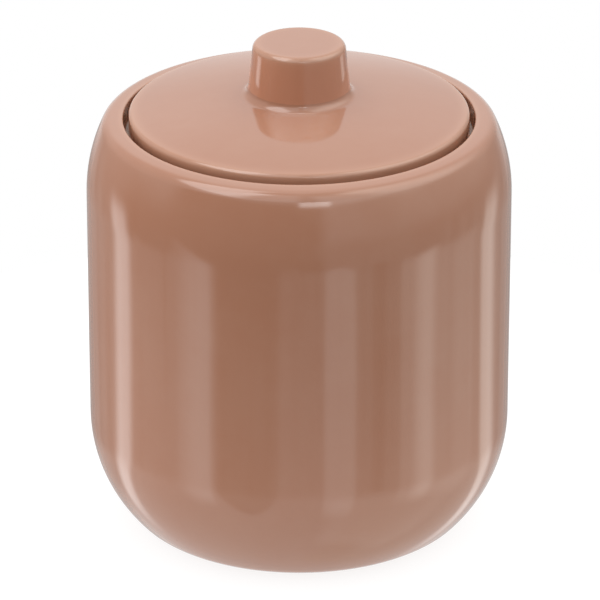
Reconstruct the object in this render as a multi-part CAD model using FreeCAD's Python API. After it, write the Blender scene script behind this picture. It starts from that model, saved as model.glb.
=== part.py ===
import FreeCAD, Part
import math
import os

# Lidded stoneware jar for cotton pads, in millimetres.
# Both castings are round about Z, and the jar stands on the table at Z = 0.

# Jar, outside: a straight side between a shoulder above and a heel below
body_radius = 50.0        # straight side
rim_height = 102.1        # table to the top of the rim, at the mouth
shoulder_radius = 38.4    # arc that leans in from the side to the rim
shoulder_turn = 25.0      # degrees that the shoulder leans in before the rim is rounded over
rim_rounding = 3.6        # outer edge of the rim
rim_slope = 8.0           # degrees that the top of the rim falls away from the mouth
heel_radius = 35.5        # wide arc that tucks in below the side
heel_turn = 41.6          # degrees that the wide arc tucks in
heel_rounding = 7.7       # tighter arc from there to the flat underside

# Foot ring, the only part of the jar that touches the table
foot_height = 1.0
foot_width = 4.5
foot_inset = 1.3          # from the end of the heel to the foot ring
foot_rounding = 0.3

# Jar, inside
wall = 4.5
floor_thickness = 5.0
floor_rounding = 4.0      # corner between the floor and the heel
ceiling_slope = 43.0      # degrees, underside of the ledge
ceiling_rounding = 6.0    # corner between the side and the underside of the ledge

# Mouth, with the sunk ledge that carries the lid
rim_land = 2.44           # sloping top of the rim, from its outer edge in to the mouth
mouth_rounding = 0.4
ledge_depth = 4.4         # top of the rim down to the ledge
ledge_width = 5.0
ledge_thickness = 4.0
ledge_rounding = 0.8

# Lid, a domed shell on a flat seat ring
lid_clearance = 1.3       # open gap between the lid and the mouth
lid_rise = 4.8            # dome, from its edge to its top
lid_wall = 4.9
lid_edge_rounding = 1.2   # upper edge
lid_heel_rounding = 1.0   # lower edge
seat_width = 5.5
seat_height = 2.0         # seat ring, below the hollow of the dome
seat_rounding = 0.5

# Knob, cast hollow with the lid
knob_radius = 10.75       # at its top, before the edge is rounded
knob_height = 12.15       # above the top of the dome
knob_draft = 5.9          # degrees
knob_wall = 5.25          # round the hollow
knob_crown = 5.0          # above the hollow
knob_root_rounding = 2.2
knob_edge_rounding = 1.5
knob_hollow_rounding = 1.5

same_place = 1e-4         # how close an edge lies to the place it is looked up by


def point(radius, height):
    return FreeCAD.Vector(radius, 0, height)


def sine(degrees):
    return math.sin(math.radians(degrees))


def cosine(degrees):
    return math.cos(math.radians(degrees))


def line(start, end):
    return Part.LineSegment(point(*start), point(*end)).toShape()


def arc(centre, radius, start, end):
    # Angles in degrees are measured up from the outward radius of the jar
    def on_arc(angle):
        return point(centre[0] + radius * cosine(angle), centre[1] + radius * sine(angle))

    return Part.Arc(on_arc(start), on_arc((start + end) / 2), on_arc(end)).toShape()


def lines_through(places):
    return [line(start, end) for start, end in zip(places, places[1:])]


def turned(edges):
    face = Part.Face(Part.Wire(edges))
    return face.revolve(FreeCAD.Vector(0, 0, 0), FreeCAD.Vector(0, 0, 1), 360)


def rounded(solid, rounding, places):
    # Rounds the circular edges at the given radius and height
    def is_at(edge, place):
        curve = edge.Curve
        if not isinstance(curve, Part.Circle):
            return False
        offset = math.hypot(curve.Radius - place[0], curve.Center.z - place[1])
        return offset < same_place

    edges = [edge for edge in solid.Edges if any(is_at(edge, place) for place in places)]
    return solid.makeFillet(rounding, edges)


# Outside of the jar, worked out from the table up and from the side in
underside = foot_height
side_low = underside + heel_radius * sine(heel_turn) + heel_rounding * (1 - sine(heel_turn))
rim_turn = 90 - rim_slope
crest_height = rim_height - rim_land * math.tan(math.radians(rim_slope))
rim_rise = rim_rounding * (sine(rim_turn) - sine(shoulder_turn))
side_high = crest_height - shoulder_radius * sine(shoulder_turn) - rim_rise
underside_radius = body_radius - heel_radius * (1 - cosine(heel_turn)) - heel_rounding * cosine(heel_turn)
rim_lean = rim_rounding * (cosine(shoulder_turn) - cosine(rim_turn))
crest_radius = body_radius - shoulder_radius * (1 - cosine(shoulder_turn)) - rim_lean

# Mouth and ledge, from the crest of the rim in and down
mouth_radius = crest_radius - rim_land
ledge_height = rim_height - ledge_depth
ledge_radius = mouth_radius - ledge_width


def jar():
    foot_outer = underside_radius - foot_inset
    foot_inner = foot_outer - foot_width
    inside_radius = body_radius - wall
    floor = underside + floor_thickness
    lip_underside = ledge_height - ledge_thickness
    ceiling = lip_underside - (inside_radius - ledge_radius) * math.tan(math.radians(ceiling_slope))

    # The inside of the heel keeps the centre of the outside one, and stops at the floor
    heel_centre = (body_radius - heel_radius, side_low)
    inner_heel_radius = heel_radius - wall
    floor_turn = math.degrees(math.asin((side_low - floor) / inner_heel_radius))
    floor_radius = heel_centre[0] + inner_heel_radius * cosine(floor_turn)

    rim_centre = (
        crest_radius - rim_rounding * cosine(rim_turn),
        crest_height - rim_rounding * sine(rim_turn),
    )

    foot = lines_through([
        (0, underside),
        (foot_inner, underside),
        (foot_inner, 0),
        (foot_outer, 0),
        (foot_outer, underside),
        (underside_radius, underside),
    ])
    outside = [
        arc((underside_radius, underside + heel_rounding), heel_rounding, -90, -heel_turn),
        arc(heel_centre, heel_radius, -heel_turn, 0),
        line((body_radius, side_low), (body_radius, side_high)),
        arc((body_radius - shoulder_radius, side_high), shoulder_radius, 0, shoulder_turn),
        arc(rim_centre, rim_rounding, shoulder_turn, rim_turn),
    ]
    mouth = lines_through([
        (crest_radius, crest_height),
        (mouth_radius, rim_height),
        (mouth_radius, ledge_height),
        (ledge_radius, ledge_height),
        (ledge_radius, lip_underside),
        (inside_radius, ceiling),
        (inside_radius, side_low),
    ])
    inside = [
        arc(heel_centre, inner_heel_radius, 0, -floor_turn),
        line((floor_radius, floor), (0, floor)),
        line((0, floor), (0, underside)),
    ]
    solid = turned(foot + outside + mouth + inside)

    solid = rounded(solid, foot_rounding, [
        (foot_inner, 0),
        (foot_outer, 0),
        (foot_inner, underside),
        (foot_outer, underside),
    ])
    solid = rounded(solid, mouth_rounding, [(mouth_radius, rim_height)])
    solid = rounded(solid, ledge_rounding, [
        (mouth_radius, ledge_height),
        (ledge_radius, ledge_height),
        (ledge_radius, lip_underside),
    ])
    solid = rounded(solid, ceiling_rounding, [(inside_radius, ceiling)])
    return rounded(solid, floor_rounding, [(floor_radius, floor)])


def lid():
    seat = ledge_height
    lid_radius = mouth_radius - lid_clearance
    seat_inner = lid_radius - seat_width
    hollow_edge = seat + seat_height

    # Dome and hollow are spheres about one centre, a wall apart.
    # The hollow starts at the top of the seat ring.
    dome_radius = (lid_radius ** 2 + lid_rise ** 2) / (2 * lid_rise)
    hollow_radius = dome_radius - lid_wall
    dome_centre = hollow_edge - math.sqrt(hollow_radius ** 2 - seat_inner ** 2)
    edge_height = dome_centre + math.sqrt(dome_radius ** 2 - lid_radius ** 2)

    # The side of the knob leans out on its way down, by its draft, and meets the dome at the root
    knob_top = dome_centre + dome_radius + knob_height
    lean = math.tan(math.radians(knob_draft))
    radius_at_centre = knob_radius + lean * (knob_top - dome_centre)
    reach = math.sqrt((1 + lean ** 2) * dome_radius ** 2 - radius_at_centre ** 2)
    root_height = dome_centre + (lean * radius_at_centre + reach) / (1 + lean ** 2)
    root_radius = knob_radius + lean * (knob_top - root_height)

    bore_radius = knob_radius - knob_wall
    bore_top = knob_top - knob_crown
    bore_mouth = dome_centre + math.sqrt(hollow_radius ** 2 - bore_radius ** 2)

    def angle_on_dome(radius, sphere_radius):
        return math.degrees(math.acos(radius / sphere_radius))

    edges = lines_through([
        (seat_inner, hollow_edge),
        (seat_inner, seat),
        (lid_radius, seat),
        (lid_radius, edge_height),
    ])
    edges.append(arc(
        (0, dome_centre), dome_radius,
        angle_on_dome(lid_radius, dome_radius), angle_on_dome(root_radius, dome_radius),
    ))
    edges += lines_through([
        (root_radius, root_height),
        (knob_radius, knob_top),
        (0, knob_top),
        (0, bore_top),
        (bore_radius, bore_top),
        (bore_radius, bore_mouth),
    ])
    edges.append(arc(
        (0, dome_centre), hollow_radius,
        angle_on_dome(bore_radius, hollow_radius), angle_on_dome(seat_inner, hollow_radius),
    ))
    solid = turned(edges)

    solid = rounded(solid, lid_edge_rounding, [(lid_radius, edge_height)])
    solid = rounded(solid, lid_heel_rounding, [(lid_radius, seat)])
    solid = rounded(solid, seat_rounding, [(seat_inner, seat), (seat_inner, hollow_edge)])
    solid = rounded(solid, knob_root_rounding, [(root_radius, root_height)])
    solid = rounded(solid, knob_edge_rounding, [(knob_radius, knob_top)])
    return rounded(solid, knob_hollow_rounding, [(bore_radius, bore_top), (bore_radius, bore_mouth)])


os.makedirs("parts", exist_ok=True)
for name, casting in (("jar", jar()), ("lid", lid())):
    casting.exportStep("parts/" + name + ".step")
    box = casting.optimalBoundingBox()
    print(f"{name}: {casting.Volume / 1000:.1f} cm3, {box.ZMin:.2f} to {box.ZMax:.2f} mm high")
    print(f"{name}: across {box.XLength:.2f} mm, valid {casting.isValid()}")
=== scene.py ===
import math

import bpy
import numpy as np
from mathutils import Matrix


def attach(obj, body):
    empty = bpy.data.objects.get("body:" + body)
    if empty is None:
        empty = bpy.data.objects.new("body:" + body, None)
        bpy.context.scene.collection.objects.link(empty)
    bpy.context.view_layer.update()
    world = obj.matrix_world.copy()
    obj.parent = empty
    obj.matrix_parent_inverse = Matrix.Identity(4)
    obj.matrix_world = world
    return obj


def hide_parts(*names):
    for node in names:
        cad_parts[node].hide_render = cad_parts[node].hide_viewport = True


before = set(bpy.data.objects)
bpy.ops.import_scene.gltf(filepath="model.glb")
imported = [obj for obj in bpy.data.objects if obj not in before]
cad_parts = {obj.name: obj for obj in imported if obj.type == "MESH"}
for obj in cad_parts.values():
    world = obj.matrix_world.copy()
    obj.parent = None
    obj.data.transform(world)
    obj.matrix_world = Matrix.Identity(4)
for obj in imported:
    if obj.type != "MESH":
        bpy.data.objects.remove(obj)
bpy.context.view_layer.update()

mm = 0.001
print("frame loaded:", sorted(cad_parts))


# Camera, where the photograph was taken from: a long lens, looking down on the lid
photoView = {
    "lookAt": (0.0002, 0.0, 0.05475),   # metres, near the middle of the jar
    "distance": 1.2,                    # metres
    "elevation": 24.243,                # degrees above the table
    "lens": 302.86, "sensor": 36.0,     # millimetres
    "clip": (0.05, 50),                 # metres
}


def placeCamera(view):
    tilt = math.radians(view["elevation"])
    camera = bpy.data.cameras.new("photoCamera")
    camera.sensor_width = view["sensor"]
    camera.lens = view["lens"]
    camera.clip_start, camera.clip_end = view["clip"]
    camera.dof.use_dof = False
    holder = bpy.data.objects.new("photoCamera", camera)
    x, y, z = view["lookAt"]
    reach = view["distance"]
    holder.location = (x, y - reach * math.cos(tilt), z + reach * math.sin(tilt))
    holder.rotation_euler = (math.pi / 2 - tilt, 0, 0)
    bpy.context.scene.collection.objects.link(holder)
    bpy.context.scene.camera = holder


placeCamera(photoView)
print("camera placed")


class Wire:
    # A socket that can be used in sums: each operator adds one Math node
    def __init__(self, tree, socket=None):
        self.tree = tree
        self.socket = socket

    def node(self, kind, settings=None, sockets=None, out=0):
        # Any node: settings go first, then the values or links of its sockets
        made = self.tree.nodes.new(kind)
        for name, value in (settings or {}).items():
            setattr(made, name, value)
        for name, value in (sockets or {}).items():
            if isinstance(value, Wire):
                self.tree.links.new(value.socket, made.inputs[name])
            else:
                made.inputs[name].default_value = value
        return Wire(self.tree, made.outputs[out] if len(made.outputs) else None)

    def math(self, operation, *values):
        sockets = dict(enumerate(values))
        return self.node("ShaderNodeMath", {"operation": operation}, sockets)

    def __add__(self, other):
        return self.math("ADD", self, other)

    def __radd__(self, other):
        return self.math("ADD", other, self)

    def __sub__(self, other):
        return self.math("SUBTRACT", self, other)

    def __rsub__(self, other):
        return self.math("SUBTRACT", other, self)

    def __mul__(self, other):
        return self.math("MULTIPLY", self, other)

    def __rmul__(self, other):
        return self.math("MULTIPLY", other, self)

    def __abs__(self):
        return self.math("ABSOLUTE", self)

    def above(self, low, high):
        # 0 below low, 1 above high, eased between them
        return self.node("ShaderNodeMapRange", {"interpolation_type": "SMOOTHSTEP"},
                         {"Value": self, "From Min": low, "From Max": high})

    def between(self, low, high, soft):
        # 1 from low to high, with edges as wide as soft
        half = soft / 2
        return self.above(low - half, low + half) * (1 - self.above(high - half, high + half))

    def atLeast(self, low):
        return self.math("MAXIMUM", self, low)

    def blend(self, first, second):
        # Colour mix with this value as the factor
        return self.node("ShaderNodeMix", {"data_type": "RGBA"}, {0: self, 6: first, 7: second}, out=2)


def newGraph(owner):
    owner.use_nodes = True
    owner.node_tree.nodes.clear()
    return Wire(owner.node_tree)


# Shapes. A piece is a profile in the (radius, height) plane, carried round the jar's axis.
# The profile is a list of arcs (centre, radius, first angle, last angle, points),
# and straight runs join them.
samePlace = 1e-6                        # millimetres, under which two points of a profile are one


def onCircle(centre, radius, angles):
    turn = np.radians(angles)
    return np.stack([centre[0] + radius * np.cos(turn), centre[1] + radius * np.sin(turn)], axis=1)


def profileOf(first, arcs, last, spacing):
    pieces = [np.array([first])]
    for centre, radius, start, end, count in arcs:
        bend = onCircle(centre, radius, np.linspace(start, end, count))
        pieces += [straightRun(pieces[-1][-1], bend[0], spacing), bend]
    pieces += [straightRun(pieces[-1][-1], np.array(last), spacing), np.array([last])]
    line = np.concatenate(pieces)
    fresh = np.hypot(*np.diff(line, axis=0).T) > samePlace     # where two arcs touch, one point is enough
    return line[np.concatenate([[True], fresh])]


def straightRun(start, end, spacing):
    # Points strictly between two ends, evenly spaced
    count = int(np.ceil(np.hypot(*(end - start)) / spacing))
    share = np.linspace(0, 1, count + 1)[1:-1, None] if count > 1 else np.zeros((0, 1))
    return start + share * (end - start)


def turnedMesh(name, profile, sides, offset):
    # Formula: point(i, j) = profile point i, moved out along its normal by offset(i, j),
    # then turned about Z by 2 pi j / sides. The first and last profile points are poles on the axis.
    inner = profile[1:-1]
    along = np.gradient(profile, axis=0)[1:-1]
    outward = np.stack([along[:, 1], -along[:, 0]], axis=1)
    outward /= np.linalg.norm(outward, axis=1, keepdims=True)
    turn = np.linspace(0, 2 * np.pi, sides, endpoint=False)
    moved = offset(inner[:, :1], inner[:, 1:], turn[None, :])
    radius = inner[:, :1] + outward[:, :1] * moved
    height = inner[:, 1:] + outward[:, 1:] * moved
    ring = np.stack([radius * np.cos(turn), radius * np.sin(turn), height + 0 * turn], axis=2)
    poles = np.array([[0, 0, profile[0, 1]], [0, 0, profile[-1, 1]]])
    points = np.concatenate([ring.reshape(-1, 3), poles]) * mm

    row = np.arange(len(inner) - 1)[:, None] * sides
    column = np.arange(sides)[None, :]
    beside = (column + 1) % sides
    quads = np.stack([row + column, row + beside, row + sides + beside, row + sides + column], axis=2)
    lastRow = (len(inner) - 1) * sides
    firstPole, lastPole = len(points) - 2, len(points) - 1
    side, nextSide = column[0], beside[0]
    fans = np.concatenate([
        np.stack([np.full(sides, firstPole), nextSide, side], axis=1),
        np.stack([np.full(sides, lastPole), lastRow + side, lastRow + nextSide], axis=1),
    ])
    mesh = bpy.data.meshes.new(name)
    mesh.from_pydata(points.tolist(), [], quads.reshape(-1, 4).tolist() + fans.tolist())
    mesh.polygons.foreach_set("use_smooth", np.ones(len(mesh.polygons), bool))
    return mesh


def addMask(mesh, name, sides, values):
    # One value for each profile point, spread round the axis
    spread = np.repeat(values[1:-1], sides)
    spread = np.concatenate([spread, values[[0, -1]]]).astype(np.float32)
    layer = mesh.attributes.new(name, "FLOAT", "POINT")
    layer.data.foreach_set("value", spread)


def nearness(profile, radius, height, reach):
    # 1 at a place on the profile, falling off over reach millimetres
    away = np.hypot(profile[:, 0] - radius, profile[:, 1] - height)
    return np.exp(-(away / reach) ** 2)


def sine(degrees):
    return math.sin(math.radians(degrees))


def cosine(degrees):
    return math.cos(math.radians(degrees))


def tangent(degrees):
    return math.tan(math.radians(degrees))


def heading(origin, place):
    # Angle in degrees from one point of the profile plane to another
    return math.degrees(math.atan2(place[1] - origin[1], place[0] - origin[0]))


# Jar, in millimetres: the sizes of its CAD solid
jarSizes = {
    "bodyRadius": 50.0, "rimHeight": 102.1,
    "shoulderRadius": 38.4, "shoulderTurn": 25.0,
    "rimRounding": 3.6, "rimSlope": 8.0, "rimLand": 2.44, "mouthRounding": 0.4,
    "heelRadius": 35.5, "heelTurn": 41.6, "heelRounding": 7.7,
    "footHeight": 1.0, "footWidth": 4.5, "footInset": 1.3, "footRounding": 0.3,
    "wall": 4.5, "floorThickness": 5.0, "floorRounding": 4.0,
    "ceilingSlope": 43.0, "ceilingRounding": 6.0,
    "ledgeDepth": 4.4, "ledgeWidth": 5.0, "ledgeThickness": 4.0, "ledgeRounding": 0.8,
    "spacing": 1.4, "sides": 256,
    "castWave": 0.05,                   # how far the cast wall wanders from true round
    "waveLow": 2.0, "waveBelowLedge": 4.0,      # where that starts, and how far under the ledge it ends
    "bareFoot": 0.75,                   # share of the foot ring's height that has no glaze
    "ledgeBand": 0.35,                  # heights that count as the ledge
    "dryEdge": 0.3, "seatEdge": 2.3,    # dry and bare parts of the ledge, from the mouth in
    "dryLedge": 0.43,                   # how bare the dry part is
    # Glaze that is thin on an edge or pooled in a corner: how far it reaches, and how much
    "crestReach": 2.2, "crestThin": 0.1,
    "mouthReach": 1.0, "mouthThin": 0.9,
    "lipReach": 1.0, "poolReach": 1.2,
}


def jarPlaces(s):
    # Radii and heights that follow from the sizes
    p = {}
    heelSine, heelCosine = sine(s["heelTurn"]), cosine(s["heelTurn"])
    rimTurn = 90 - s["rimSlope"]
    p["rimTurn"] = rimTurn
    p["underside"] = s["footHeight"]
    p["sideLow"] = p["underside"] + s["heelRadius"] * heelSine + s["heelRounding"] * (1 - heelSine)
    p["undersideRadius"] = (s["bodyRadius"] - s["heelRadius"] * (1 - heelCosine)
                            - s["heelRounding"] * heelCosine)
    p["crestHeight"] = s["rimHeight"] - s["rimLand"] * tangent(s["rimSlope"])
    p["sideHigh"] = (p["crestHeight"] - s["shoulderRadius"] * sine(s["shoulderTurn"])
                     - s["rimRounding"] * (sine(rimTurn) - sine(s["shoulderTurn"])))
    p["crestRadius"] = (s["bodyRadius"] - s["shoulderRadius"] * (1 - cosine(s["shoulderTurn"]))
                        - s["rimRounding"] * (cosine(s["shoulderTurn"]) - cosine(rimTurn)))
    p["mouthRadius"] = p["crestRadius"] - s["rimLand"]
    p["ledgeHeight"] = s["rimHeight"] - s["ledgeDepth"]
    p["ledgeRadius"] = p["mouthRadius"] - s["ledgeWidth"]
    p["footOuter"] = p["undersideRadius"] - s["footInset"]
    p["footInner"] = p["footOuter"] - s["footWidth"]
    p["insideRadius"] = s["bodyRadius"] - s["wall"]
    p["floor"] = p["underside"] + s["floorThickness"]
    p["lipUnderside"] = p["ledgeHeight"] - s["ledgeThickness"]
    return p


def jarProfile(s, p):
    foot, ledge = s["footRounding"], s["ledgeRounding"]
    slope = s["ceilingSlope"]
    heelCentre = (s["bodyRadius"] - s["heelRadius"], p["sideLow"])
    rimCentre = (p["crestRadius"] - s["rimRounding"] * cosine(p["rimTurn"]),
                 p["crestHeight"] - s["rimRounding"] * sine(p["rimTurn"]))
    mouth = s["mouthRounding"]
    mouthCentre = (p["mouthRadius"] + mouth,
                   s["rimHeight"] - mouth * (1 + cosine(p["rimTurn"])) / sine(p["rimTurn"]))
    # Sloping ceiling under the ledge: a line from the lip down to the side wall
    lipCentre = (p["ledgeRadius"] + ledge,
                 p["lipUnderside"] - ledge * tangent(slope) + ledge / cosine(slope))
    bend = s["ceilingRounding"]
    bendRadius = p["insideRadius"] - bend
    bendHeight = p["lipUnderside"] - (bendRadius - p["ledgeRadius"]) * tangent(slope) - bend / cosine(slope)
    # Corner between the floor and the inside of the heel
    corner = s["floorRounding"]
    innerHeel = s["heelRadius"] - s["wall"]
    cornerDrop = heelCentre[1] - p["floor"] - corner
    cornerCentre = (heelCentre[0] + math.sqrt((innerHeel - corner) ** 2 - cornerDrop ** 2),
                    p["floor"] + corner)
    cornerTurn = heading(heelCentre, cornerCentre)
    heel, shoulder = s["heelRounding"], s["shoulderRadius"]
    arcs = [
        ((p["footInner"] - foot, p["underside"] - foot), foot, 90, 0, 5),
        ((p["footInner"] + foot, foot), foot, 180, 270, 5),
        ((p["footOuter"] - foot, foot), foot, 270, 360, 5),
        ((p["footOuter"] + foot, p["underside"] - foot), foot, 180, 90, 5),
        ((p["undersideRadius"], p["underside"] + heel), heel, -90, -s["heelTurn"], 12),
        (heelCentre, s["heelRadius"], -s["heelTurn"], 0, 24),
        ((s["bodyRadius"] - shoulder, p["sideHigh"]), shoulder, 0, s["shoulderTurn"], 20),
        (rimCentre, s["rimRounding"], s["shoulderTurn"], p["rimTurn"], 12),
        (mouthCentre, mouth, p["rimTurn"], 180, 8),
        ((p["mouthRadius"] - ledge, p["ledgeHeight"] + ledge), ledge, 0, -90, 6),
        ((p["ledgeRadius"] + ledge, p["ledgeHeight"] - ledge), ledge, 90, 180, 6),
        (lipCentre, ledge, 180, 270 - slope, 5),
        ((bendRadius, bendHeight), bend, 90 - slope, 0, 8),
        (heelCentre, innerHeel, 0, cornerTurn, 18),
        (cornerCentre, corner, cornerTurn, -90, 8),
    ]
    return profileOf((0, p["underside"]), arcs, (0, p["floor"]), s["spacing"])


# Slow waves of a cast wall: share of the size, waves in one turn, radians per millimetre of height, start
wallWaves = ((0.5, 2, 0.0, 0.6), (0.3, 3, 0.045, 2.0), (0.2, 7, -0.06, 0.0), (0.16, 11, 0.11, 1.0))
waveEase = 0.7
axisClear = 1.0                         # millimetres round the axis that stay as they are


def castWave(size, lowest, highest):
    # Formula: a sum of sines of the turn and the height, times an ease that is largest at mid height
    # and nothing at the lowest and the highest
    def offset(radius, height, turn):
        share = np.clip((height - lowest) / (highest - lowest), 0, 1)
        ease = np.sin(np.pi * share) ** waveEase
        waves = sum(part * np.sin(count * turn + climb * height + start)
                    for part, count, climb, start in wallWaves)
        return size * ease * waves * (radius > axisClear)
    return offset


def makeJar(s):
    p = jarPlaces(s)
    profile = jarProfile(s, p)
    wave = castWave(s["castWave"], s["waveLow"], p["ledgeHeight"] - s["waveBelowLedge"])
    mesh = turnedMesh("jarGlazed", profile, s["sides"], wave)
    radius, height = profile.T
    onFoot = height < s["bareFoot"] * s["footHeight"]
    # The ledge is bare where the lid's seat covers it, and dry and toasted from there out to the mouth
    onLedge = (abs(height - p["ledgeHeight"]) < s["ledgeBand"]) & (radius > p["ledgeRadius"])
    inward = p["mouthRadius"] - radius
    seat, dry = onLedge & (inward > s["seatEdge"]), onLedge & (inward > s["dryEdge"])
    addMask(mesh, "bare", s["sides"], np.where(onFoot | seat, 1.0, s["dryLedge"] * dry))
    crest = nearness(profile, p["crestRadius"], p["crestHeight"], s["crestReach"])
    mouth = nearness(profile, p["mouthRadius"], s["rimHeight"], s["mouthReach"])
    lip = nearness(profile, p["ledgeRadius"], p["ledgeHeight"], s["lipReach"])
    thin = s["crestThin"] * crest + s["mouthThin"] * mouth + lip
    addMask(mesh, "thin", s["sides"], np.clip(thin, 0, 1))
    # On the jar this mask is glaze pooled in the corner of the ledge; on the lid the same mask carries
    # painted bounce light
    poolAndBounceLight = nearness(profile, p["mouthRadius"], p["ledgeHeight"], s["poolReach"])
    addMask(mesh, "poolAndBounceLight", s["sides"], poolAndBounceLight)
    return bpy.data.objects.new("jarGlazed", mesh), p


# Lid with its knob, in millimetres
lidSizes = {
    "clearance": 1.3, "rise": 4.8, "wall": 4.9, "edgeRounding": 1.2, "heelRounding": 1.0,
    "seatWidth": 5.5, "seatHeight": 2.0, "seatRounding": 0.5,
    "knobRadius": 10.75, "knobHeight": 12.15, "knobDraft": 5.9, "knobWall": 5.25, "knobCrown": 5.0,
    "rootRounding": 2.2, "knobEdgeRounding": 1.5, "hollowRounding": 1.5,
    "spacing": 0.9, "sides": 256,
    "castWave": 0.03,
    "seatBand": 0.3, "seatInset": 0.2, "seatOutset": 0.4,  # bare seat: heights, and in from its edges
    "edgeReach": 1.8, "crownReach": 1.6,                   # how far the glaze is thin round the edges
    "warmInset": 1.0, "warmLow": 1.2, "warmHigh": 1.0,     # side of the knob lit by painted bounce light, in from where it ends
}


def lidPlaces(s, jar):
    p = {"seat": jar["ledgeHeight"]}
    p["lidRadius"] = jar["mouthRadius"] - s["clearance"]
    p["seatInner"] = p["lidRadius"] - s["seatWidth"]
    p["hollowEdge"] = p["seat"] + s["seatHeight"]
    p["domeRadius"] = (p["lidRadius"] ** 2 + s["rise"] ** 2) / (2 * s["rise"])
    p["hollowRadius"] = p["domeRadius"] - s["wall"]
    p["domeCentre"] = p["hollowEdge"] - math.sqrt(p["hollowRadius"] ** 2 - p["seatInner"] ** 2)
    p["edgeHeight"] = p["domeCentre"] + math.sqrt(p["domeRadius"] ** 2 - p["lidRadius"] ** 2)
    p["knobTop"] = p["domeCentre"] + p["domeRadius"] + s["knobHeight"]
    p["boreRadius"] = s["knobRadius"] - s["knobWall"]
    p["boreTop"] = p["knobTop"] - s["knobCrown"]
    return p


def lidProfile(s, p):
    centre = (0, p["domeCentre"])

    def overSphere(radius, reach):
        # Place at the given radius, reach away from the centre of the dome
        return (radius, p["domeCentre"] + math.sqrt(reach ** 2 - radius ** 2))

    hollow, seat = s["hollowRounding"], s["seatRounding"]
    boreMouth = overSphere(p["boreRadius"] + hollow, p["hollowRadius"] + hollow)
    seatTop = overSphere(p["seatInner"] - seat, p["hollowRadius"] - seat)
    edge = overSphere(p["lidRadius"] - s["edgeRounding"], p["domeRadius"] - s["edgeRounding"])
    # Root of the knob: a circle that touches the dome and the leaning side of the knob
    draft, root = s["knobDraft"], s["rootRounding"]
    reach = p["domeRadius"] + root
    sideAway = s["knobRadius"] * cosine(draft) + (p["knobTop"] - p["domeCentre"]) * sine(draft) + root
    lean = math.degrees(math.acos(sideAway / reach))
    rootTurn = draft + lean
    rootCentre = (reach * cosine(rootTurn), p["domeCentre"] + reach * sine(rootTurn))
    heel, crown = s["heelRounding"], s["knobEdgeRounding"]
    crownCentre = (s["knobRadius"] - crown * (1 - sine(draft)) / cosine(draft), p["knobTop"] - crown)
    arcs = [
        ((p["boreRadius"] - hollow, p["boreTop"] - hollow), hollow, 90, 0, 7),
        (boreMouth, hollow, 180, 360 + heading(boreMouth, centre), 7),
        (centre, p["hollowRadius"], heading(centre, boreMouth), heading(centre, seatTop), 24),
        (seatTop, seat, heading(centre, seatTop), 0, 5),
        ((p["seatInner"] + seat, p["seat"] + seat), seat, 180, 270, 5),
        ((p["lidRadius"] - heel, p["seat"] + heel), heel, 270, 360, 8),
        (edge, s["edgeRounding"], 0, heading(centre, edge), 14),
        (centre, p["domeRadius"], heading(centre, edge), rootTurn, 40),
        (rootCentre, root, 180 + rootTurn, 180 + draft, 14),
        (crownCentre, crown, draft, 90, 12),
    ]
    return profileOf((0, p["boreTop"]), arcs, (0, p["knobTop"]), s["spacing"])


def makeLid(s, jar):
    p = lidPlaces(s, jar)
    profile = lidProfile(s, p)
    wave = castWave(s["castWave"], p["edgeHeight"], p["knobTop"])
    mesh = turnedMesh("lidGlazed", profile, s["sides"], wave)
    radius, height = profile.T
    onSeat = ((height < p["seat"] + s["seatBand"]) & (radius > p["seatInner"] + s["seatInset"])
              & (radius < p["lidRadius"] - s["seatOutset"]))
    addMask(mesh, "bare", s["sides"], onSeat.astype(float))
    edge = nearness(profile, p["lidRadius"], p["edgeHeight"], s["edgeReach"])
    crown = nearness(profile, s["knobRadius"], p["knobTop"], s["crownReach"])
    addMask(mesh, "thin", s["sides"], np.clip(edge + crown, 0, 1))
    # Painted bounce light: the side of the knob, from its rounded top to its root, is coloured warmer and
    # lighter, standing in for light thrown onto it from the lid
    rootHeight = p["knobTop"] - s["knobHeight"]
    onKnob = ((radius > s["knobRadius"] - s["warmInset"]) & (height > rootHeight + s["warmLow"])
              & (height < p["knobTop"] - s["warmHigh"]))
    addMask(mesh, "poolAndBounceLight", s["sides"], onKnob.astype(float))
    return bpy.data.objects.new("lidGlazed", mesh)


# Glaze: a gloss terracotta-pink coat over pale clay, thin on the edges, wiped off the foot and the seat,
# with painted bounce light on the side of the knob
glazeLook = {
    "full": (0.362, 0.176, 0.112, 1),
    "heavy": (0.352, 0.163, 0.100, 1),
    # Pooled glaze in the jar's ledge corner; on the side of the knob the same colour is painted bounce
    # light
    "pooledAndBounceLit": (0.53, 0.225, 0.13, 1),
    "thin": (0.46, 0.25, 0.165, 1),
    "clay": (0.60, 0.47, 0.35, 1),
    "clayGrain": (0.50, 0.37, 0.26, 1),
    "scorch": (0.36, 0.15, 0.07, 1),
    "speck": (0.20, 0.085, 0.05, 1),
    # Shares of the layers, and where on a pattern or a mask each starts and is full
    "cloudShare": 0.75, "heavyFrom": (0.36, 0.64),
    "poolAndBounceShare": 0.5,
    "thinShare": 0.35, "thinFleck": 0.5,
    "clayGrainFrom": (0.4, 0.62),
    "toastShare": 0.8, "toastBand": (0.12, 0.62, 0.25),
    "wipedFrom": (0.35, 0.6),
    "gloss": 0.09, "dull": 0.05, "dullFrom": (0.55, 0.75), "clayRough": 0.8,
    "ior": 1.6,
    "peel": 0.0000022,                  # metres, height of the fine ripple of the glaze
    "grain": 0.00006,
    # Scales of the patterns, and the size and the share of the cells that hold a speck
    "cloudScale": 22, "fleckScale": 190, "grainScale": 900, "rippleScale": 330,
    "speckScale": 70.0, "speckSize": (0.018, 0.03), "speckCells": (0.93, 0.935), "speckShare": 0.55,
}


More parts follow.
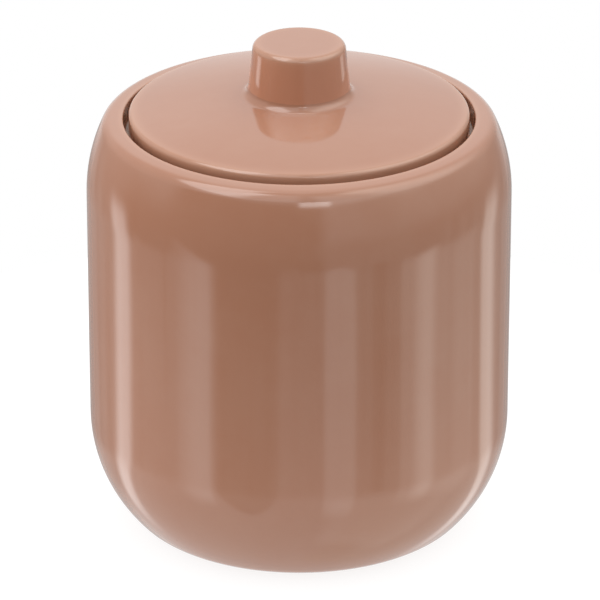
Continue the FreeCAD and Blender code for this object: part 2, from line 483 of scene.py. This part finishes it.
def makeGlaze(look):
    material = bpy.data.materials.new("glazedStoneware")
    g = newGraph(material)
    place = g.node("ShaderNodeTexCoord", out="Object")

    def noise(scale, detail, rough=0.5):
        return g.node("ShaderNodeTexNoise", {"noise_dimensions": "3D"},
                      {"Vector": place, "Scale": scale, "Detail": detail, "Roughness": rough})

    def mask(name):
        return g.node("ShaderNodeAttribute", {"attribute_name": name}, out="Fac")

    bare, thin, poolAndBounceLight = mask("bare"), mask("thin"), mask("poolAndBounceLight")
    cloud = noise(look["cloudScale"], 3)
    fleck = noise(look["fleckScale"], 4, 0.6)
    uneven = look["cloudShare"] * cloud + (1 - look["cloudShare"]) * fleck
    body = uneven.above(*look["heavyFrom"]).blend(look["full"], look["heavy"])
    # Painted bounce light on the knob's side, and glaze pooled in the ledge corner
    pooledAndBounceLit = (look["poolAndBounceShare"] * poolAndBounceLight).blend(body, look["pooledAndBounceLit"])
    edged = (thin * (look["thinShare"] + look["thinFleck"] * fleck)).blend(pooledAndBounceLit, look["thin"])
    # Rare iron specks: small dots in a few of the cells
    cells = {"Vector": place, "Scale": look["speckScale"]}
    dot = 1 - g.node("ShaderNodeTexVoronoi", {"feature": "F1"}, cells).above(*look["speckSize"])
    lot = g.node("ShaderNodeTexVoronoi", {"feature": "F1"}, cells, out="Color")
    chosen = g.node("ShaderNodeSeparateColor", None, {0: lot}).above(*look["speckCells"])
    glaze = (look["speckShare"] * dot * chosen).blend(edged, look["speck"])
    grain = noise(look["grainScale"], 3, 0.7)
    clay = grain.above(*look["clayGrainFrom"]).blend(look["clay"], look["clayGrain"])
    # Toasted darker in a line where the coat ends, and on the dry part of the ledge
    scorch = bare.between(*look["toastBand"])
    wiped = bare.above(*look["wipedFrom"])
    toasted = (look["toastShare"] * scorch).blend(glaze, look["scorch"])
    colour = wiped.blend(toasted, clay)
    gloss = look["gloss"] + look["dull"] * cloud.above(*look["dullFrom"])
    rough = gloss + wiped * (look["clayRough"] - gloss)

    ripple = noise(look["rippleScale"], 2)
    peel = g.node("ShaderNodeBump", None, {
        "Strength": 1.0, "Distance": look["peel"], "Height": ripple})
    sand = g.node("ShaderNodeBump", None, {
        "Strength": 1.0, "Distance": look["grain"], "Height": grain * wiped, "Normal": peel})
    shader = g.node("ShaderNodeBsdfPrincipled", None, {
        "Base Color": colour, "Roughness": rough, "Normal": sand, "IOR": look["ior"]})
    g.node("ShaderNodeOutputMaterial", None, {"Surface": shader})
    return material


# Studio: a white table in a soft room. Both the light that falls on the glaze and the room that it mirrors
# are functions of direction: turn is 0 towards the camera and grows to the right, rise is 0 at the horizon.
studio = {
    "cameraWhite": 1.0,
    "twiceMirrored": 10.0, "twiceDepth": (1.4, 1.6), "twiceRise": (22, 30), "twiceTurn": (60, 115),
    "warmWhite": (1.0, 0.98, 0.92, 1), "warmTurn": (30, 140, 50),
    "tableColour": (0.75, 0.75, 0.75, 1),
    "tableGlow": 1.15, "tableGlowShare": 0.75,
    "tableRadius": 0.16, "tableDrop": 0.00003,     # metres
    "tableSides": 96,
}

# Light that falls on it: a bright sky, a pale table, and walls that are dark in front,
# brightest at the sides and less bright behind
fill = {
    "skyFront": 1.72, "skyBack": 1.5, "skyRise": (10, 38),
    "dark": 0.21, "bright": 2.4, "darkTurn": 19, "wallTurn": (30, 150),
    "behindFall": 0.75, "behindTurn": (105, 165),
    "table": 0.9, "tableRise": (-32, -20),
}

# Room that it mirrors, before the panels: a dark horizon between a sky and a table,
# each with the rise that it starts from and is full at
mirrored = {
    "horizon": 0.06, "horizonRight": 0.34, "rightTurn": (6, 18),
    "horizonFarLeft": 0.3, "farLeftTurn": (-112, -98),
    "sky": 0.8, "skyRise": (-8, 22),
    "frontTurn": (-73, 57, 18), "frontSkyRise": (22, 31),
    "back": 0.95, "backTurn": (142, 162), "backRise": (-21, -12),
    "backSky": 1.35, "backSkyRise": (8, 35),
    "apron": 0.5, "apronRise": (-24, -19),
    "table": 1.0, "tableRise": (-30, -23),
    "streakScale": 0.16, "streakLight": 0.5, "streakRise": 16, "streakEnd": (-20, 0),
}

# Soft boxes, strips and dark screens in that room.
# Turn and rise hold four values: from, softness there, to, softness there.
# A slant tilts the lower or the upper edge, in degrees of rise per degree of turn, and a bow rounds it.
# A lean splays the foot of a strip, in degrees of turn per degree of rise below leanFrom.
panels = {
    "upperLeftBox": {"turn": (-152, 34, -40, 20), "rise": (50, 7, 78, 7), "lowSlant": -0.28, "light": 3.1},
    "upperRightBox": {"turn": (52, 30, 130, 60), "rise": (27, 26, 76, 10), "light": 2.2},
    "frontBox": {"turn": (12, 10, 52, 30), "rise": (24, 6, 70, 10), "light": 0.85},
    "ceilingBox": {"turn": (-66, 20, 0, 10), "rise": (31, 8, 80, 8), "light": 0.75},
    "frontLamp": {"turn": (0, 3, 18, 4), "rise": (23.5, 2, 29.5, 3), "light": 3.8},
    "rightWall": {"turn": (14, 10, 130, 24), "rise": (-2, 12, 30, 12), "light": 0.32},
    "leftStrip": {"turn": (-118.5, 9, -104.5, 7), "rise": (-43, 18, -11, 10),
                  "lean": 1.2, "leanFrom": -25, "light": 1.7},
    "leftBox": {"turn": (-66, 20, -49, 4), "rise": (-36, 12, -18, 4), "highSlant": -0.55, "light": 0.9},
    "leftScreen": {"turn": (-46, 5, -12, 14), "rise": (-43, 6, -14, 6), "lowBow": 0.05, "light": -0.56},
    "frontScreen": {"turn": (-16, 10, 13, 3), "rise": (-26, 3, -14, 6), "light": -0.22},
    "slimBox": {"turn": (13.5, 3, 31, 3), "rise": (-42, 14, -20, 4), "highBow": 0.06, "light": 0.62},
    "rightScreen": {"turn": (31.5, 2, 56.5, 3), "rise": (-27.5, 3, -20, 4), "lowBow": 0.02, "light": -0.12},
    "rightScreenCore": {"turn": (40, 3, 48.5, 4), "rise": (-27.5, 3, -20, 4),
                        "lowBow": 0.06, "light": -0.26},
    "rightBox": {"turn": (57, 2.5, 110, 14), "rise": (-36, 12, -20, 6), "highSlant": 0.05, "light": 0.45},
    "rightBoxCore": {"turn": (67, 10, 79, 8), "rise": (-36, 12, -19, 5), "highSlant": 0.2, "light": 1.0},
    "rightStrip": {"turn": (117, 5, 131, 10), "rise": (-46, 18, -13, 10),
                   "lean": -1.2, "leanFrom": -25, "light": 1.15},
    "leftShade": {"turn": (-175, 10, -124, 10), "rise": (-38, 8, -25, 6), "light": -0.36},
    "rightShade": {"turn": (136, 8, 175, 10), "rise": (-38, 8, -25, 6), "light": -0.28},
    "rightPool": {"turn": (18, 12, 100, 16), "rise": (-70, 10, -31, 6), "light": 0.3},
}


def stepUp(value, place, soft):
    return value.above(place - soft / 2, place + soft / 2)


def panelLight(panel, turn, rise):
    left, leftSoft, right, rightSoft = panel["turn"]
    low, lowSoft, high, highSoft = panel["rise"]
    if "lean" in panel:
        turn = turn + panel["lean"] * (panel["leanFrom"] - rise).atLeast(0.0)
    across = turn - (left + right) / 2
    upper = lower = rise
    if "lowSlant" in panel:
        lower = rise - panel["lowSlant"] * across
    if "highSlant" in panel:
        upper = rise - panel["highSlant"] * across
    if "highBow" in panel:
        upper = upper + panel["highBow"] * across * across
    if "lowBow" in panel:
        lower = lower - panel["lowBow"] * across * across
    wide = stepUp(turn, left, leftSoft) * (1 - stepUp(turn, right, rightSoft))
    tall = stepUp(lower, low, lowSoft) * (1 - stepUp(upper, high, highSoft))
    return panel["light"] * wide * tall


def mirroredRoom(look, panels, turn, rise):
    front = turn.between(*look["frontTurn"])
    back = abs(turn).above(*look["backTurn"])
    raised = rise.above(*look["skyRise"])
    raised = raised + front * (rise.above(*look["frontSkyRise"]) - raised)
    raised = raised + back * (rise.above(*look["backRise"]) - raised)
    behind = look["back"] + (look["backSky"] - look["back"]) * rise.above(*look["backSkyRise"])
    sky = look["sky"] + (behind - look["sky"]) * back
    room = look["horizon"] + look["horizonRight"] * turn.above(*look["rightTurn"])
    room = room + look["horizonFarLeft"] * (1 - turn.above(*look["farLeftTurn"]))
    room = room + raised * (sky - room)
    # Uneven edge of the table: upright streaks, and a jagged top to the apron
    streak = turn.node("ShaderNodeTexNoise", {"noise_dimensions": "1D"},
                       {"W": turn, "Scale": look["streakScale"], "Detail": 2.0}) - 0.5
    jagged = rise + look["streakRise"] * streak
    room = room + (1 - jagged.above(*look["apronRise"])) * (look["apron"] - room)
    room = room + look["streakLight"] * streak * (1 - rise.above(*look["streakEnd"]))
    room = room + (1 - rise.above(*look["tableRise"])) * (look["table"] - room)
    for panel in panels.values():
        room = room + panelLight(panel, turn, rise)
    return room.atLeast(0.0)


def fallingLight(look, turn, rise):
    away = abs(turn - look["darkTurn"]).above(*look["wallTurn"])
    behind = look["behindFall"] * abs(turn).above(*look["behindTurn"])
    wall = look["dark"] + (look["bright"] - look["dark"]) * away * (1 - behind)
    sky = look["skyFront"] + (look["skyBack"] - look["skyFront"]) * away
    light = wall + rise.above(*look["skyRise"]) * (sky - wall)
    return light + (1 - rise.above(*look["tableRise"])) * (look["table"] - light)


def makeRoom(look, fill, mirrored, panels):
    world = bpy.data.worlds.new("softStudio")
    bpy.context.scene.world = world
    g = newGraph(world)
    toward = g.node("ShaderNodeSeparateXYZ", None, {0: g.node("ShaderNodeTexCoord", out="Generated")})
    parts = toward.socket.node.outputs
    x, y, z = (Wire(g.tree, parts[axis]) for axis in "XYZ")
    degrees = 180 / math.pi
    turn = g.math("ARCTAN2", x, 0 - y) * degrees
    rise = g.math("ARCSINE", z) * degrees
    light = fallingLight(fill, turn, rise)
    # A mirror image within a mirror image is lifted, so that the knob stays faint in the lid
    room = mirroredRoom(mirrored, panels, turn, rise)
    twice = g.node("ShaderNodeLightPath", out="Glossy Depth").above(*look["twiceDepth"])
    twice = twice * rise.above(*look["twiceRise"]) * (1 - abs(turn).above(*look["twiceTurn"]))
    room = room + twice * (look["twiceMirrored"] - room)
    glossy = g.node("ShaderNodeLightPath", out="Is Glossy Ray")
    light = light + glossy * (room - light)
    light = light + g.node("ShaderNodeLightPath", out="Is Camera Ray") * (look["cameraWhite"] - light)
    tint = (glossy * turn.between(*look["warmTurn"])).blend((1, 1, 1, 1), look["warmWhite"])
    shine = g.node("ShaderNodeBackground", None, {"Color": tint, "Strength": light})
    g.node("ShaderNodeOutputWorld", None, {"Surface": shine})


def makeTable(look):
    # Formula: a disc in polar steps, flat just under the foot ring
    turn = np.linspace(0, 2 * np.pi, look["tableSides"], endpoint=False)
    reach, drop = look["tableRadius"], look["tableDrop"]
    edge = np.stack([reach * np.cos(turn), reach * np.sin(turn), 0 * turn - drop], axis=1)
    mesh = bpy.data.meshes.new("table")
    mesh.from_pydata(edge.tolist(), [], [list(range(len(edge)))])
    table = bpy.data.objects.new("table", mesh)
    bpy.context.scene.collection.objects.link(table)
    material = bpy.data.materials.new("whiteTable")
    g = newGraph(material)
    paper = g.node("ShaderNodeBsdfDiffuse", None, {"Color": look["tableColour"]})
    glow = g.node("ShaderNodeEmission", None, {"Color": (1, 1, 1, 1), "Strength": look["tableGlow"]})
    top = g.node("ShaderNodeMixShader", None, {0: look["tableGlowShare"], 1: paper, 2: glow})
    # From below the table is clear, so that the foot and the underside can be seen
    below = g.node("ShaderNodeNewGeometry", out="Backfacing")
    clear = g.node("ShaderNodeBsdfTransparent")
    surface = g.node("ShaderNodeMixShader", None, {0: below, 1: top, 2: clear})
    g.node("ShaderNodeOutputMaterial", None, {"Surface": surface})
    mesh.materials.append(material)
    table.visible_glossy = False        # the glaze mirrors the room's own table and bands instead


glaze = makeGlaze(glazeLook)
jarPiece, jarAt = makeJar(jarSizes)
lidPiece = makeLid(lidSizes, jarAt)
for piece, node in ((jarPiece, "jar"), (lidPiece, "lid")):
    piece.data.materials.append(glaze)
    bpy.context.scene.collection.objects.link(piece)
    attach(piece, node)
    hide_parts(node)
    print(piece.name, len(piece.data.polygons), "faces")

makeRoom(studio, fill, mirrored, panels)
makeTable(studio)
bpy.context.scene.view_settings.view_transform = "Standard"
print("studio ready")
